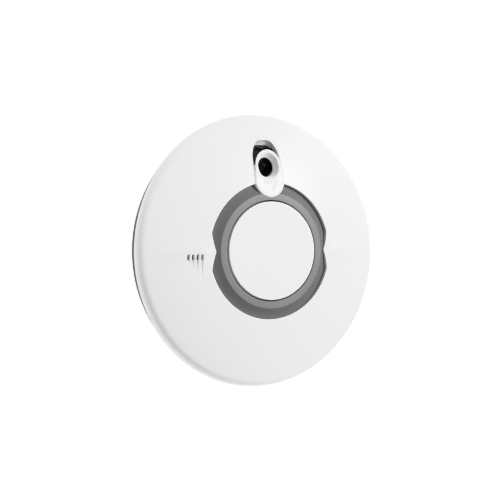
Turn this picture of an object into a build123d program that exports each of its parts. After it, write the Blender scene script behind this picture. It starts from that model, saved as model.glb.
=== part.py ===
"""Round battery heat alarm: a domed head that twists onto a shallow mounting plate.

Frame: millimetres, origin at the centre of the mounting plate's back face, +Z out of the
front of the alarm, +Y towards the sensor nose and +X to the right of it.
"""
from build123d import *
import os
from math import asin, cos, degrees, radians, sin, sqrt, tan

# ---------------------------------------------------------------- driving dimensions: cover
cover_radius = 67.5        # outside of the white dome's skirt
skirt_z = 10.0             # back edge of the skirt
dome_edge_z = 25.9         # height of the dome where it meets the trim ring
dome_rim_z = 14.2          # height of the dome where it meets the skirt, before rounding
shoulder_radius = 6.0      # rounding between skirt and dome
inner_shoulder_radius = 1.8
shoulder_share = 0.95      # of the skirt that the rounding may take, on a flatter dome
cover_wall = 2.2

ridge_end = 60.0           # how far out the ridges at 3 and 9 o'clock reach
ridge_height = 0.8
tab_length = 2.9           # of the pointed tab at each ridge's inner end
tab_half_width = 9.3

slot_count = 4
slot_pitch = 2.22
slot_first_x = -37.8
slot_width = 1.25
slot_top_y = -1.1
slot_height = 2.7
groove_depth = 1.0
groove_lengths = (10.0, 7.5, 4.0, 1.6)

# ---------------------------------------------------------------- clearances
fit_gap = 0.2              # one moulding inside another
hairline = 0.1             # visible joint between two mouldings
head_gap = 0.3             # air between the plate's rim and the head that turns on it
running_gap = 0.25         # round parts that slide
button_gap = 0.7
touch_gap = 0.05           # between faces that all but touch

# ---------------------------------------------------------------- mounting plate and housing
base_inset = 3.9           # of the plate and the rear housing under the skirt
rim_wall = 2.0
rim_chamfer = 0.4
plate_floor = 2.2
plate_rim_z = 4.6
plate_rib_radii = (20.0, 40.0)
plate_rib_width = 1.6
plate_rib_height = 0.9
pocket_depth = 0.9         # shallow hollows moulded into the plate's back
pocket_rings = ((8.0, 21.0, 6), (40.0, 58.0, 18))
pocket_rib = 1.6

wall_slot_spacing = 60.0
wall_slot_radius = 2.3
wall_slot_length = 10.0
wall_slot_land = 2.5       # raised land round each slot
wall_slot_land_height = 1.0

hook_angles = (60.0, 180.0, 300.0)
hook_inner = 45.8
hook_post_inner = 48.6
hook_outer = 50.6
hook_half_angle = 4.5
hook_spare_angle = 1.5
hook_spare = 0.6
hook_lug = 2.0
twist_angle = 20.0

housing_floor = 2.0
housing_top_z = 13.0
lip_height = 1.1           # lip that centres the cover, level with the skirt's edge

# ---------------------------------------------------------------- trim ring and button
button_radius = 24.3
button_face_z = 27.8
button_crown = 0.35
button_travel = 1.0
button_wall = 1.8
button_skirt = 4.2
button_rounding = 0.5
band_width = 3.4           # of the trim ring's inner band
band_inner_z = 27.3
band_outer_z = 26.9
cove_middle = (1.2, 25.75)  # a point of the cove, outwards from the band, and its height
cove_width = 3.3           # from the band to where the cove levels out
cove_edge_width = 2.2      # from there to the cover
cove_z = 24.85
cove_rise = 0.1
ring_wall = 1.8
ring_flange_width = 1.6
ring_flange_thickness = 1.2
well_floor_z = 20.0        # floor of the trim ring's well, under the button
well_floor = 1.6
stem_radius = 2.6
leg_angles = (30.0, 150.0, 270.0)
leg_radius_at = 19.0
leg_thickness = 1.4
leg_width = 5.0
leg_slot = (3.2, 7.0)
foot_reach = 2.2
foot_thickness = 1.3
spring_radius = 5.0
spring_wire = 0.35
spring_turns = 3.5

# ---------------------------------------------------------------- sensor nose
nose_low_radius = 8.0      # round lower end of the nose
nose_tip_gap = 1.8         # from the well to the nose's lower tip
nose_length = 9.2          # from the centre of its lower end to that of its half-elliptical end
nose_half_width = 8.0
nose_height = 11.0
nose_tip_z = 27.7          # top surface of the tongue at its lower tip
nose_slope = 10.5          # degrees that the nose's top surface falls towards +Y
nose_rounding = 0.8
nose_lip = 0.3
nose_low_z = 18.2
nose_shelf_z = 24.0        # where the tongue rests on the trim ring
nose_flange_width = 1.6
nose_flange_thickness = 1.25
hoop_from_tip = 15.4
hoop_radius = 7.3
hoop_back_radius = 5.6
hoop_depth = 3.6
port_radius = 6.1          # mouth of the funnel in the hoop
port_throat = 4.2
sensor_hole_radius = 6.6   # opening in the scoop, under the hoop
sensor_hole_from_tip = 17.6
scoop_depth = 4.6
sensor_cup_radius = 8.3
sensor_cup_wall = 1.2
sensor_cup_floor = 1.0
bead_size = (1.5, 1.1, 1.6)
bead_depth = 2.0           # of the bead's middle below the back of the hoop
lead_half_width = 0.22
lead_x = 0.6
lead_in_bead = -0.2        # how far the leads end above the bead's middle

# ---------------------------------------------------------------- board and what it carries
board_gap = 0.7            # between the board's edge and the cover's screw bosses
board_z = 11.0
board_thickness = 1.6
board_posts = ((46.0, 12.0), (-28.0, 40.0), (-44.0, -22.0))
post_radius = 2.9
cover_boss_inset = 4.6     # of the bosses' middle from the housing's wall
cover_boss_angles = (30.0, 150.0, 270.0)
cover_boss_radius = 3.3
cover_boss_depth = 4.0     # of the screw hole's end below the dome
housing_boss_wall = 1.4
housing_boss_height = 1.6
screw_radius = 1.4
screw_head_radius = 2.7
screw_head_height = 1.7
screw_rounding = 0.7
screw_recess = (2.8, 0.7, 0.9)

battery_radius = 7.25
battery_length = 33.4
battery_nub = (2.6, 1.2)
battery_gap = 0.75         # from the well
saddle_width = 2.0
saddle_edge = 1.5
saddle_drop = 3.5
tab_strip = 0.3            # thickness of the welded strips
tab_strip_width = 4.0

switch_half = 3.0
switch_height = 3.5
switch_floor = 1.0
plunger_radius = 1.7
plunger_rise = 1.5
led_x, led_y = 9.0, 12.0
led_radius = 1.5
led_stand = 1.0
led_body = 2.4
light_pipe_radius = 2.0

sounder_x = -37.0
sounder_radius = 14.5
sounder_base_height = 2.4
sounder_wall = 1.6
sounder_height = 5.2
disc_radius = 12.4         # brass disc, held by its edge
disc_thickness = 0.25
disc_seat = 0.8
ceramic_radius = 9.0
ceramic_thickness = 0.2
sound_tube_radius = 4.4    # short tube from the sounder up towards the slots
sound_tube_wall = 1.2

chip_x, chip_y = 25.0, 3.0
coil_x, coil_y = 25.0, -10.0
capacitor_x, capacitor_y = 38.0, -6.0

slide_x, slide_y = 24.0, 27.0
slide_travel = 2.0
slide_height = 3.4
knob_half = (0.9, 0.7)
shoe_half = (1.6, 1.2)
knob_recess = 0.3          # how far the knob's end lies inside the housing's back

# ---------------------------------------------------------------- derived places
well_radius = button_radius + button_gap
band_radius = well_radius + band_width
cove_radius = band_radius + cove_width
opening_radius = cove_radius + cove_edge_width
tab_reach = opening_radius - tab_length
nose_tip_y = well_radius + nose_tip_gap
nose_low_y = nose_tip_y + nose_low_radius
nose_high_y = nose_low_y + nose_length
hoop_y = nose_tip_y + hoop_from_tip
sensor_hole_y = nose_tip_y + sensor_hole_from_tip
battery_y = -(well_radius + battery_gap + battery_radius)
dome_rise = dome_edge_z - dome_rim_z
dome_centre_z = (dome_edge_z + dome_rim_z) / 2 - (cover_radius**2 - opening_radius**2) / (2 * dome_rise)
dome_radius = sqrt((dome_edge_z - dome_centre_z) ** 2 + opening_radius**2)
base_radius = cover_radius - base_inset
cover_boss_at = base_radius - rim_wall - cover_boss_inset
board_radius = cover_boss_at - cover_boss_radius - board_gap
housing_z = plate_rim_z + head_gap
floor_top = housing_z + housing_floor
board_top = board_z + board_thickness
well_top = well_floor_z + well_floor
ring_flange_radius = opening_radius + ring_flange_width
battery_axis_z = floor_top + battery_radius + fit_gap
screw_seat_z = housing_z + screw_head_height + fit_gap
switch_top = board_top + switch_height
stem_low_z = switch_top + plunger_rise + touch_gap
disc_z = board_top + sounder_base_height
hoop_centre_z = nose_tip_z - hoop_from_tip * tan(radians(nose_slope))
hoop_back_z = hoop_centre_z - hoop_depth
bead_z = hoop_back_z - bead_depth
big = 4 * cover_radius


def dome_z(radius, inset=0.0):
    """Height of the dome, or of the surface that lies inset under it."""
    return dome_centre_z + sqrt((dome_radius - inset) ** 2 - radius**2)


ring_flange_top = dome_z(ring_flange_radius, cover_wall) - fit_gap


# ---------------------------------------------------------------- shapes used throughout
def rod(radius, low, high, x=0.0, y=0.0):
    """A round bar along Z."""
    return Pos(x, y, (low + high) / 2) * Cylinder(radius, high - low)


def tube(outer, inner, low, high, x=0.0, y=0.0):
    return rod(outer, low, high, x, y) - rod(inner, low - 1, high + 1, x, y)


def block(x_range, y_range, z_range):
    size = [b - a for a, b in (x_range, y_range, z_range)]
    middle = [(a + b) / 2 for a, b in (x_range, y_range, z_range)]
    return Pos(*middle) * Box(*size)


def about(middle, half):
    """Range of one coordinate, given its middle and half its width."""
    return middle - half, middle + half


def polar(radius, angle):
    return radius * cos(radians(angle)), radius * sin(radians(angle))


def sector(inner, outer, angle_from, angle_to, low, high):
    """Part of a ring between two angles, in degrees."""
    middle = (angle_from + angle_to) / 2
    edges = [
        Line(polar(inner, angle_from), polar(outer, angle_from)),
        ThreePointArc(polar(outer, angle_from), polar(outer, middle), polar(outer, angle_to)),
        Line(polar(outer, angle_to), polar(inner, angle_to)),
        ThreePointArc(polar(inner, angle_to), polar(inner, middle), polar(inner, angle_from)),
    ]
    return Pos(0, 0, low) * extrude(make_face(edges), high - low)


def through(sketch, low=0.0, high=60.0):
    """A flat outline drawn out along Z."""
    return Pos(0, 0, low) * extrude(sketch, high - low)


def rings(solid, radius, z=None):
    """Circular edges of one radius, at one height if it is given."""
    round_edges = solid.edges().filter_by(GeomType.CIRCLE)
    same = round_edges.filter_by(lambda e: abs(e.radius - radius) < 0.01)
    return same if z is None else same.filter_by(lambda e: abs(e.arc_center.Z - z) < 0.01)


def dome_solid(inset, shoulder, low):
    """Everything inside the dome surface and the skirt, from the height low upwards."""
    radius = cover_radius - inset
    corner = (radius, dome_z(radius, inset))
    crown = (0, dome_z(0, inset))
    profile = make_face(
        Plane.XZ
        * (
            Line((0, low), (radius, low))
            + Line((radius, low), corner)
            + RadiusArc(corner, crown, -(dome_radius - inset))
            + Line(crown, (0, low))
        )
    )
    solid = revolve(profile, Axis.Z)
    lean = asin(radius / (dome_radius - inset))
    room = (corner[1] - low) * tan(radians(45) + lean / 2)
    return fillet(rings(solid, radius, corner[1]), min(shoulder, shoulder_share * room))


def under_dome(inset):
    """A ball that ends inset under the dome surface."""
    return Pos(0, 0, dome_centre_z) * Sphere(dome_radius - inset)


# ---------------------------------------------------------------- outlines seen from the front
def nose_outline(grow=0.0):
    """Long oval of the nose: a round lower end and a taller, half-elliptical upper end."""
    low, half = nose_low_radius + grow, nose_half_width + grow
    top = nose_high_y + nose_height + grow
    upper = Pos(0, nose_high_y) * (
        Ellipse(half, nose_height + grow) & Pos(0, top / 2) * Rectangle(big, top)
    )
    middle = make_face(
        Polyline(
            (-low, nose_low_y),
            (low, nose_low_y),
            (half, nose_high_y),
            (-half, nose_high_y),
            close=True,
        )
    )
    return Pos(0, nose_low_y) * Circle(low) + middle + upper


def tab_outline(grow=0.0):
    """The two pointed tabs of the cover that reach in over the trim ring."""
    root = sqrt(opening_radius**2 - tab_half_width**2)
    outside = opening_radius + 2
    tabs = Sketch()
    for side in (-1, 1):
        tabs += make_face(
            Polyline(
                (side * (tab_reach - grow), 0),
                (side * root, tab_half_width + grow),
                (side * outside, tab_half_width + grow),
                (side * outside, -tab_half_width - grow),
                (side * root, -tab_half_width - grow),
                close=True,
            )
        )
    return tabs


# ---------------------------------------------------------------- mounting plate
def bayonet_hook(angle):
    """Post that stands up from the plate, with a lug that reaches in over the housing's floor."""
    low = floor_top + fit_gap
    sides = (angle - hook_half_angle, angle + hook_half_angle)
    post = sector(hook_post_inner, hook_outer, *sides, plate_floor, low + hook_lug)
    return post + sector(hook_inner, hook_outer, *sides, low, low + hook_lug)


def back_pockets():
    """Shallow hollows in the plate's back, which leave rims and radial ribs standing."""
    pockets = []
    for inner, outer, count in pocket_rings:
        step = 360 / count
        rib_angle = degrees(pocket_rib / 2 / inner)
        for number in range(count):
            start = number * step + step / 2
            sides = (start + rib_angle, start + step - rib_angle)
            pockets.append(sector(inner, outer, *sides, -1, pocket_depth))
    return pockets


def mounting_plate():
    plate = rod(base_radius, 0, plate_rim_z) - rod(base_radius - rim_wall, plate_floor, big)
    plate = chamfer(rings(plate, base_radius), rim_chamfer)
    for radius in plate_rib_radii:
        half = plate_rib_width / 2
        plate += tube(radius + half, radius - half, plate_floor, plate_floor + plate_rib_height)
    for angle in hook_angles:
        plate += bayonet_hook(angle)
    land = SlotOverall(wall_slot_length + 2 * wall_slot_land, 2 * (wall_slot_radius + wall_slot_land))
    slot = SlotOverall(wall_slot_length, 2 * wall_slot_radius)
    for side in (-1, 1):
        spot = Pos(side * wall_slot_spacing / 2, 0, 0)
        plate += spot * through(land, plate_floor, plate_floor + wall_slot_land_height)
        plate -= spot * through(slot)
    return plate - back_pockets()


# ---------------------------------------------------------------- rear housing
def hook_windows(angle):
    """Curved slot that a hook's post runs in, and the wider end where its lug passes."""
    spare = hook_half_angle + hook_spare_angle
    unlocked = angle - twist_angle
    ceiling = floor_top + 1
    run = sector(
        hook_post_inner - hook_spare, hook_outer + hook_spare,
        unlocked - spare, angle + spare, 0, ceiling,
    )
    entry = sector(
        hook_inner - hook_spare, hook_outer + hook_spare,
        unlocked - spare, unlocked + spare, 0, ceiling,
    )
    return run + entry


def battery_saddles():
    """Two ribs on the housing floor, hollowed to the cell's radius."""
    reach = battery_radius + saddle_edge
    ribs = Part()
    for side in (-1, 1):
        ribs += block(
            about(side * battery_length / 4, saddle_width / 2),
            about(battery_y, reach),
            (floor_top - 0.5, battery_axis_z - saddle_drop),
        )
    cell = Pos(0, battery_y, battery_axis_z) * Rot(0, 90, 0) * Cylinder(battery_radius + touch_gap, big)
    return ribs - cell


def slide_window():
    """Slot in the housing floor through which the slide switch is worked."""
    middle, half = slide_x + slide_travel / 2, slide_travel / 2 + knob_half[0] + 0.5
    return block(about(middle, half), about(slide_y, knob_half[1] + 0.5), (0, floor_top + 1))


def rear_housing():
    shell = rod(base_radius, housing_z, housing_top_z)
    shell = chamfer(rings(shell, base_radius, housing_z), rim_chamfer)
    shell += rod(cover_radius - cover_wall - fit_gap, skirt_z, skirt_z + lip_height)
    shell -= rod(base_radius - rim_wall, floor_top, big)
    for x, y in board_posts:
        shell += rod(post_radius, floor_top, board_z, x, y)
        shell -= rod(screw_radius + touch_gap, housing_z + 1, big, x, y)
    for angle in cover_boss_angles:
        x, y = polar(cover_boss_at, angle)
        counterbore = screw_head_radius + fit_gap
        shell += rod(counterbore + housing_boss_wall, floor_top, floor_top + housing_boss_height, x, y)
        shell -= rod(counterbore, 0, screw_seat_z, x, y)
        shell -= rod(screw_radius + fit_gap, 0, big, x, y)
    for angle in hook_angles:
        shell -= hook_windows(angle)
    return shell + battery_saddles() - slide_window()


# ---------------------------------------------------------------- front cover
def ridges():
    """Low roof-shaped ridges that run out from the tabs along the X axis."""
    start = tab_reach - 1
    roofs = Part()
    for side in (-1, 1):
        sections = []
        for share in (0.0, 0.35, 0.7, 1.0):
            x = start + share * (ridge_end - start)
            half = tab_half_width * (1 - 0.45 * share)
            crest = dome_z(x) + ridge_height * (1 - 0.9 * share)
            foot = dome_z(sqrt(x * x + half * half)) - touch_gap
            outline = Plane.YZ.offset(side * x) * Polyline(
                (-half, foot), (0, crest), (half, foot), (0, foot - ridge_height), close=True
            )
            sections.append(make_face(outline))
        roofs += loft(sections, ruled=True)
    return roofs


def sound_slots():
    """Cutters for the sound slots and the tapering grooves that run down from them."""
    low_y = slot_top_y - slot_height
    cutters = Part()
    for number in range(slot_count):
        x = slot_first_x - number * slot_pitch
        end_y = low_y - groove_lengths[number]
        surface = dome_z(abs(x))
        beyond = surface + 3
        cutters += block(about(x, slot_width / 2), (low_y, slot_top_y), about(surface, 2 * cover_wall))
        outline = Plane.YZ.offset(x - slot_width / 2) * Polyline(
            (slot_top_y, surface - groove_depth),
            (low_y, surface - groove_depth),
            (end_y, dome_z(sqrt(x * x + end_y * end_y)) + 0.02),
            (end_y, beyond),
            (slot_top_y, beyond),
            close=True,
        )
        cutters += extrude(make_face(outline), slot_width)
    return cutters


def front_cover():
    outer = dome_solid(0.0, shoulder_radius, skirt_z) + ridges()
    inner = dome_solid(cover_wall, inner_shoulder_radius, skirt_z - 5)
    opening = through(Circle(opening_radius) - tab_outline() + nose_outline(hairline))
    cover = outer - inner - opening - sound_slots()
    boss_low = floor_top + housing_boss_height + hairline
    for angle in cover_boss_angles:
        x, y = polar(cover_boss_at, angle)
        boss = rod(cover_boss_radius, boss_low, 40, x, y) & under_dome(cover_wall / 2)
        hole = rod(screw_radius + touch_gap, 0, dome_z(cover_boss_at) - cover_boss_depth, x, y)
        cover += boss - hole
    return cover


# ---------------------------------------------------------------- sensor nose
nose_plane = Plane(
    origin=(0, nose_low_y - nose_low_radius, nose_tip_z),
    x_dir=(1, 0, 0),
    z_dir=(0, sin(radians(nose_slope)), cos(radians(nose_slope))),
)
hoop_place = Pos(0, hoop_y, hoop_centre_z) * Rot(-nose_slope, 0, 0)


def hoop_cone(front, back, rise=0.0):
    """A cone along the hoop's own axis, narrowing away from the front."""
    return hoop_place * Pos(0, 0, rise - hoop_depth / 2) * Cone(back, front, hoop_depth + 2 * rise)


def tongue():
    """Sloping block below the hoop, rounded along its top edge."""
    low_circle = Pos(0, nose_low_y) * Circle(nose_low_radius)
    hoop_circle = Pos(0, hoop_y) * Circle(hoop_radius)
    outline = make_hull(low_circle.edges() + hoop_circle.edges())
    below_slope = nose_plane * Pos(0, 0, -20) * Box(big, big, 40)
    under_slope = through(outline, hoop_back_z - 1) & below_slope
    top = under_slope.faces().sort_by(Axis.Z)[-1]
    rounded = fillet(top.edges(), nose_rounding)
    return rounded - Pos(0, hoop_y + 0.5 + big / 2, 0) * Box(big, big, big)


def scoop():
    """Smooth hollow over the hoop, cut along the slope of the dome."""
    tilt = degrees(asin(nose_high_y / dome_radius))
    hollow = Pos(0, nose_high_y, dome_z(nose_high_y)) * Rot(-tilt, 0, 0) * scale(
        Sphere(1), (nose_half_width - nose_lip, nose_height - nose_lip, scoop_depth)
    )
    return hollow & Pos(0, hoop_y - 2 + big / 2, 0) * Box(big, big, big)


def nose_flange():
    """Rim that holds the nose from inside the cover."""
    inset = cover_wall + touch_gap
    flange = through(nose_outline(nose_flange_width), nose_low_z - 4) & under_dome(inset)
    return flange - under_dome(inset + nose_flange_thickness)


def nose_cowl():
    ring_flange_room = rod(ring_flange_radius + fit_gap, 0, ring_flange_top + hairline)
    skin = through(nose_outline(), nose_low_z) & under_dome(0.0)
    body = skin - scoop() - ring_flange_room
    body += nose_flange() - rod(ring_flange_radius + fit_gap, 0, big)
    body -= rod(sensor_hole_radius, 0, big, 0, sensor_hole_y)
    tongue_room = rod(sensor_hole_radius, 0, hoop_back_z + nose_rounding, 0, sensor_hole_y)
    body += tongue() - tongue_room - ring_flange_room
    body -= rod(opening_radius + fit_gap, 0, nose_shelf_z + hairline)
    body += hoop_cone(hoop_radius, hoop_back_radius)
    body -= hoop_cone(port_radius, port_throat, 0.01)
    return body - hoop_place * Pos(0, 0, -hoop_depth - 5) * Cylinder(port_throat, 10.1)


# ---------------------------------------------------------------- trim ring and button
def trim_ring():
    """Grey ring: an inner band, a cove round it, and a well that holds the button."""
    edge = opening_radius - hairline
    cove_point = (band_radius + cove_middle[0], cove_middle[1])
    flange_low = ring_flange_top - ring_flange_thickness
    outline = (
        Line((well_radius, band_inner_z), (band_radius, band_outer_z))
        + ThreePointArc((band_radius, band_outer_z), cove_point, (cove_radius, cove_z))
        + Polyline(
            (cove_radius, cove_z),
            (edge, cove_z + cove_rise),
            (edge, ring_flange_top),
            (ring_flange_radius, ring_flange_top),
            (ring_flange_radius, flange_low),
            (well_radius + ring_wall, flange_low),
            (well_radius + ring_wall, well_floor_z),
            (stem_radius + running_gap, well_floor_z),
            (stem_radius + running_gap, well_top),
            (well_radius, well_top),
            (well_radius, band_inner_z),
        )
    )
    ring = revolve(make_face(Plane.XZ * outline), Axis.Z)
    ring -= through(tab_outline(hairline), ring_flange_top)
    ring -= through(nose_outline(hairline), nose_shelf_z)
    ring -= rod(light_pipe_radius + touch_gap, 0, big, led_x, led_y)
    for angle in leg_angles:
        x, y = polar(leg_radius_at, angle)
        ring -= Pos(x, y, well_top) * Rot(0, 0, angle) * Box(*leg_slot, 4 * well_floor)
    return ring


def button_leg(angle):
    """Leg that passes through the well's floor, with a foot that stops the button lifting out."""
    low, high = well_floor_z - foot_thickness - touch_gap, button_face_z - button_wall / 2
    half = leg_thickness / 2
    leg = block((-half, half), about(0, leg_width / 2), (low, high))
    leg += block((-half, foot_reach), about(0, leg_width / 2), (low, low + foot_thickness))
    tip = leg.edges().filter_by(Axis.Y).filter_by(
        lambda e: e.center().X > foot_reach - 0.01 and e.center().Z < low + 0.01
    )
    x, y = polar(leg_radius_at, angle)
    return Pos(x, y, 0) * Rot(0, 0, angle) * chamfer(tip, foot_thickness / 2)


def test_button():
    """Round cap with a skirt, a stem to the switch and three legs."""
    low, inside = button_face_z - button_skirt, button_radius - button_wall
    ceiling = button_face_z - button_wall
    crown_radius = (button_radius**2 + button_crown**2) / (2 * button_crown)
    crown_top = (0, button_face_z + button_crown)
    profile = (
        Line((0, ceiling), crown_top)
        + RadiusArc((button_radius, button_face_z), crown_top, -crown_radius)
        + Polyline(
            (button_radius, button_face_z),
            (button_radius, low),
            (inside, low),
            (inside, ceiling),
            (0, ceiling),
        )
    )
    cap = revolve(make_face(Plane.XZ * profile), Axis.Z)
    cap = fillet(rings(cap, button_radius, button_face_z), button_rounding)
    cap += rod(stem_radius, stem_low_z, button_face_z - button_wall / 2)
    for angle in leg_angles:
        cap += button_leg(angle)
    return cap


def button_spring():
    """Compression spring round the stem, from the well's floor to the cap."""
    low = well_top + spring_wire + touch_gap
    height = button_face_z - button_wall - spring_wire - touch_gap - low
    helix = Helix(height / spring_turns, height, spring_radius, center=(0, 0, low))
    section = Plane(origin=helix @ 0, z_dir=helix % 0) * Circle(spring_wire)
    return sweep(section, path=helix)


# ---------------------------------------------------------------- circuit board and switch
def main_board():
    board = rod(board_radius, board_z, board_top)
    window_x, window_y = battery_length / 2 + 2.0, battery_radius + 0.8
    board -= block(about(0, window_x), about(battery_y, window_y), (0, big))
    for x, y in board_posts:
        board -= rod(screw_radius + fit_gap, 0, big, x, y)
    return board


def tact_switch():
    """Square push switch with four solder feet."""
    body = block(about(0, switch_half), about(0, switch_half), (board_top, switch_top))
    body = chamfer(body.edges().filter_by(Axis.Z), 0.4)
    body -= rod(plunger_radius + hairline, board_top + switch_floor, big)
    for x in (-switch_half - 0.35, switch_half + 0.35):
        for y in (-2.0, 2.0):
            body += block(about(x, 0.4), about(y, 0.35), (board_top, board_top + 0.9))
    return body


def switch_plunger():
    low = board_top + switch_floor + button_travel + fit_gap
    return rod(plunger_radius, low, switch_top + plunger_rise)


def status_led():
    low = board_top + led_stand
    body = rod(led_radius, low, low + led_body, led_x, led_y)
    body += Pos(led_x, led_y, low + led_body) * Sphere(led_radius)
    body += rod(led_radius + 0.4, low, low + 0.8, led_x, led_y)
    for side in (-0.64, 0.64):
        body += rod(0.25, board_top, low + hairline, led_x + side, led_y)
    return body


def light_pipe():
    low = board_top + led_stand + led_body + led_radius + 0.3
    top = button_face_z - button_wall - button_travel - 0.6
    pipe = rod(light_pipe_radius, low, top, led_x, led_y)
    return pipe + rod(light_pipe_radius + 0.8, well_floor_z - 1.0, well_floor_z, led_x, led_y)


# ---------------------------------------------------------------- sounder
def sounder_base():
    cup = rod(sounder_radius, board_top, disc_z, sounder_x)
    cup -= rod(disc_radius - disc_seat, board_top + 0.8, big, sounder_x)
    return cup - rod(4.0, 0, big, sounder_x)


def piezo_disc():
    return rod(disc_radius, disc_z, disc_z + disc_thickness, sounder_x)


def piezo_ceramic():
    low = disc_z + disc_thickness
    return rod(ceramic_radius, low, low + ceramic_thickness, sounder_x)


def sounder_cap():
    high = board_top + sounder_height
    tube_top = dome_z(abs(sounder_x) + sound_tube_radius, cover_wall) - head_gap
    inside = sound_tube_radius - sound_tube_wall
    cap = rod(sounder_radius, disc_z, high, sounder_x)
    cap = fillet(rings(cap, sounder_radius, high), 0.6)
    cap -= rod(disc_radius + hairline, 0, disc_z + disc_thickness, sounder_x)
    cap -= rod(disc_radius - disc_seat, 0, high - sounder_wall, sounder_x)
    cap += rod(sound_tube_radius, high - sounder_wall, tube_top, sounder_x)
    return cap - rod(inside, 0, big, sounder_x)


def sounder_contacts():
    """Three bent spring strips beside the sounder that feed its disc."""
    strips = []
    upright = block((-0.25, 0.0), about(0, 0.6), (board_top, board_top + 3.2))
    foot = block((-1.0, 0.0), about(0, 0.6), (board_top, board_top + 0.25))
    for angle in (50.0, 90.0, 130.0):
        x, y = polar(sounder_radius + 1.2, angle)
        strips.append(Pos(sounder_x + x, y, 0) * Rot(0, 0, angle) * (upright + foot))
    return Compound(children=strips)


# ---------------------------------------------------------------- battery
def battery_cell():
    nub_radius, nub_height = battery_nub
    can_length = battery_length - nub_height
    can = Cylinder(battery_radius, can_length)
    can = fillet(can.edges().filter_by(GeomType.CIRCLE), 0.7)
    nub = Pos(0, 0, (can_length + nub_height) / 2) * Cylinder(nub_radius, nub_height)
    return Pos(-nub_height / 2, battery_y, battery_axis_z) * Rot(0, 90, 0) * (can + nub)


def battery_tabs():
    """Welded nickel strips from the cell's ends to the board."""
    end = battery_length / 2 + 0.02
    across = about(battery_y, tab_strip_width / 2)
    upright = block((end, end + tab_strip), across, (board_top + tab_strip, battery_axis_z + 2))
    foot = block((end, end + 4.5), across, (board_top, board_top + tab_strip))
    strip = upright + foot
    return Compound(children=[strip, mirror(strip, about=Plane.YZ)])


# ---------------------------------------------------------------- parts soldered to the board
def microcontroller():
    """Moulded chip with two rows of bent legs."""
    chip = block(about(chip_x, 5), about(chip_y, 2), (board_top + 0.15, board_top + 1.7))
    chip = chamfer(chip.edges().group_by(Axis.Z)[-1], 0.25)
    for number in range(8):
        x = chip_x + (number - 3.5) * 1.27
        for side in (-1, 1):
            toe = about(chip_y + side * 2.475, 0.525)
            heel = about(chip_y + side * 2.1, 0.15)
            chip += block(about(x, 0.2), toe, (board_top, board_top + 0.35))
            chip += block(about(x, 0.2), heel, (board_top, board_top + 0.95))
    return chip


def step_up_coil():
    """Ferrite bobbin: two flanges with the winding between them."""
    coil = rod(5.0, board_top, board_top + 6.0, coil_x, coil_y)
    coil -= tube(6.0, 4.2, board_top + 1.0, board_top + 5.0, coil_x, coil_y) - tube(
        7.0, 6.0, 0, big, coil_x, coil_y
    )
    return coil - rod(1.2, 0, big, coil_x, coil_y)


def reservoir_capacitor():
    can = rod(3.15, board_top + 0.6, board_top + 6.4, capacitor_x, capacitor_y)
    can = fillet(can.edges().filter_by(GeomType.CIRCLE), 0.4)
    foot = block(about(capacitor_x, 3.3), about(capacitor_y, 3.3), (board_top, board_top + 0.6))
    return can + foot


def chip_parts():
    """Surface-mount resistors and capacitors, as one group of separate solids."""
    places = [(14 + 3.6 * column, 16.5 + 3.0 * row) for column in range(5) for row in range(3)]
    places += [(-8 + 3.4 * column, -12) for column in range(4)]
    height = (board_top, board_top + 0.6)
    return Compound(children=[block(about(x, 1.0), about(y, 0.62), height) for x, y in places])


# ---------------------------------------------------------------- thermistor
def thermistor_leads(gap=0.0):
    """Two square wires that end inside the bead, or the room that they need."""
    half, top = lead_half_width + gap, bead_z + lead_in_bead + gap
    legs = [block(about(x, half), about(hoop_y, half), (board_top, top)) for x in (-lead_x, lead_x)]
    return Compound(children=legs)


def thermistor_bead():
    bead = Pos(0, hoop_y, bead_z) * scale(Sphere(1), bead_size)
    for lead in thermistor_leads(0.01).solids():
        bead -= lead
    return bead


def sensor_cup():
    """Dark cup round the thermistor that keeps the case closed under the open nose."""
    inside = sensor_cup_radius - sensor_cup_wall
    cup = rod(sensor_cup_radius, board_top, nose_low_z - hairline, 0, sensor_hole_y)
    cup &= under_dome(cover_wall + nose_flange_thickness + fit_gap)
    cup -= rod(inside, board_top + sensor_cup_floor, big, 0, sensor_hole_y)
    for lead in thermistor_leads(fit_gap).solids():
        cup -= lead
    return cup


# ---------------------------------------------------------------- screws
def screws(places, seat, end):
    """Pan-head screws with a cross recess, whose points lie at the height end."""
    side = 1 if seat > end else -1
    recess_length, recess_width, recess_depth = screw_recess
    head = Pos(0, 0, side * screw_head_height / 2) * Cylinder(screw_head_radius, screw_head_height)
    head = fillet(rings(head, screw_head_radius, side * screw_head_height), screw_rounding)
    for turn in (0, 90):
        bar = Box(recess_length, recess_width, 2 * recess_depth)
        head -= Pos(0, 0, side * screw_head_height) * Rot(0, 0, turn) * bar
    shank = Pos(0, 0, (end - seat) / 2) * Cylinder(screw_radius, abs(end - seat))
    return Compound(children=[Pos(x, y, seat) * (head + shank) for x, y in places])


def board_screws():
    return screws(board_posts, board_top, housing_z + 1.4)


def housing_screws():
    places = [polar(cover_boss_at, angle) for angle in cover_boss_angles]
    return screws(places, screw_seat_z, dome_z(cover_boss_at) - cover_boss_depth - 0.6)


# ---------------------------------------------------------------- battery disconnect switch, on the back
def slide_switch():
    low = board_z - slide_height
    middle, travel = slide_x + slide_travel / 2, slide_travel / 2
    stem_room = (travel + knob_half[0] + 0.5, knob_half[1] + fit_gap)
    shoe_room = (travel + shoe_half[0] + 0.4, shoe_half[1] + fit_gap)
    body = block(about(middle, travel + 3.3), about(slide_y, 2.2), (low, board_z))
    body -= block(about(middle, stem_room[0]), about(slide_y, stem_room[1]), (0, low + 2))
    return body - block(about(middle, shoe_room[0]), about(slide_y, shoe_room[1]), (low + 0.8, low + 2))


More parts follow.
